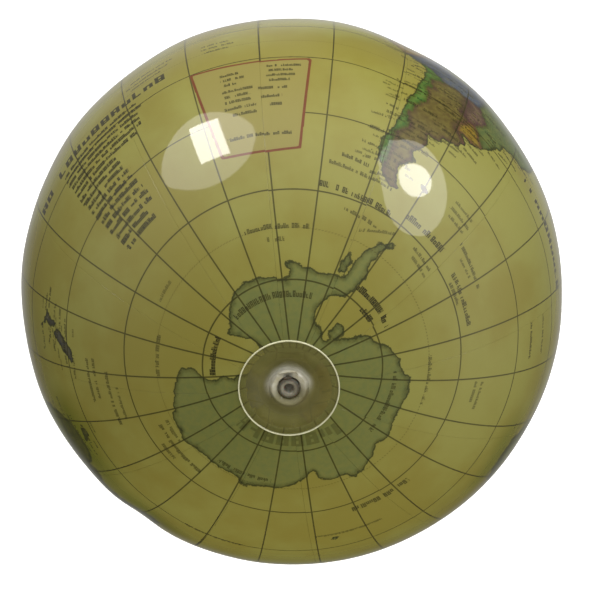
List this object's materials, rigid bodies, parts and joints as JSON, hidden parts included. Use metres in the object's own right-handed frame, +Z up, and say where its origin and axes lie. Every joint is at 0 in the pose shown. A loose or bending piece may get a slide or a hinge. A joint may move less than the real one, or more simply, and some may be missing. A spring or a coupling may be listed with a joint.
{
  "type": "inflatable globe ball",
  "caption": "Air-filled desk ball of welded vinyl panels printed with an old-style world map, lying valve side up, with a push-in stem, tethered plug and check flap.",
  "frame": {"origin": "centre of the flat spot that the ball rests on, under its lower pole disc", "axes": "+Z up along the ball's polar axis, from the rest disc to the valve; -Y is the side that the plug's tether is on"},
  "size_m": [0.257, 0.257, 0.2589],
  "materials": {
    "map_film": "glossy printed vinyl film, aged-parchment ground with fine map print",
    "clear_film": "clear, slightly smoky glossy vinyl film",
    "soft_vinyl": "milky translucent soft vinyl moulding",
    "valve_vinyl": "greyish semi-clear vinyl moulding, satin"
  },
  "bodies": {
    "ball": {"map_panel_01": "map_film", "map_panel_02": "map_film", "map_panel_03": "map_film", "map_panel_04": "map_film", "map_panel_05": "map_film", "map_panel_06": "map_film", "map_panel_07": "map_film", "map_panel_08": "map_film", "map_panel_09": "map_film", "map_panel_10": "map_film", "map_panel_11": "map_film", "map_panel_12": "map_film", "valve_disc": "clear_film", "rest_disc": "clear_film", "valve_flange": "soft_vinyl", "valve_neck": "soft_vinyl"},
    "stem": {"valve_stem": "valve_vinyl", "tether_lug": "valve_vinyl"},
    "plug": {"valve_plug": "valve_vinyl", "tether_strap": "valve_vinyl"},
    "flap": {"check_flap": "soft_vinyl"}
  },
  "joints": [
    {"name": "stem_slide", "type": "slide", "parent": "ball", "child": "stem", "axis": [0, 0, 1], "range_m": [0, 0.008], "deforming": ["valve_neck"]},
    {"name": "plug_hinge", "type": "hinge", "parent": "stem", "child": "plug", "pos_m": [0, -0.0044, 0.25722], "axis": [1, 0, 0], "range_deg": [0, 115]},
    {"name": "flap_hinge", "type": "hinge", "parent": "stem", "child": "flap", "pos_m": [0, 0.0037, 0.24207], "axis": [1, 0, 0], "range_deg": [0, 70], "stiffness_Nm_per_rad": 0.0002}
  ]
}
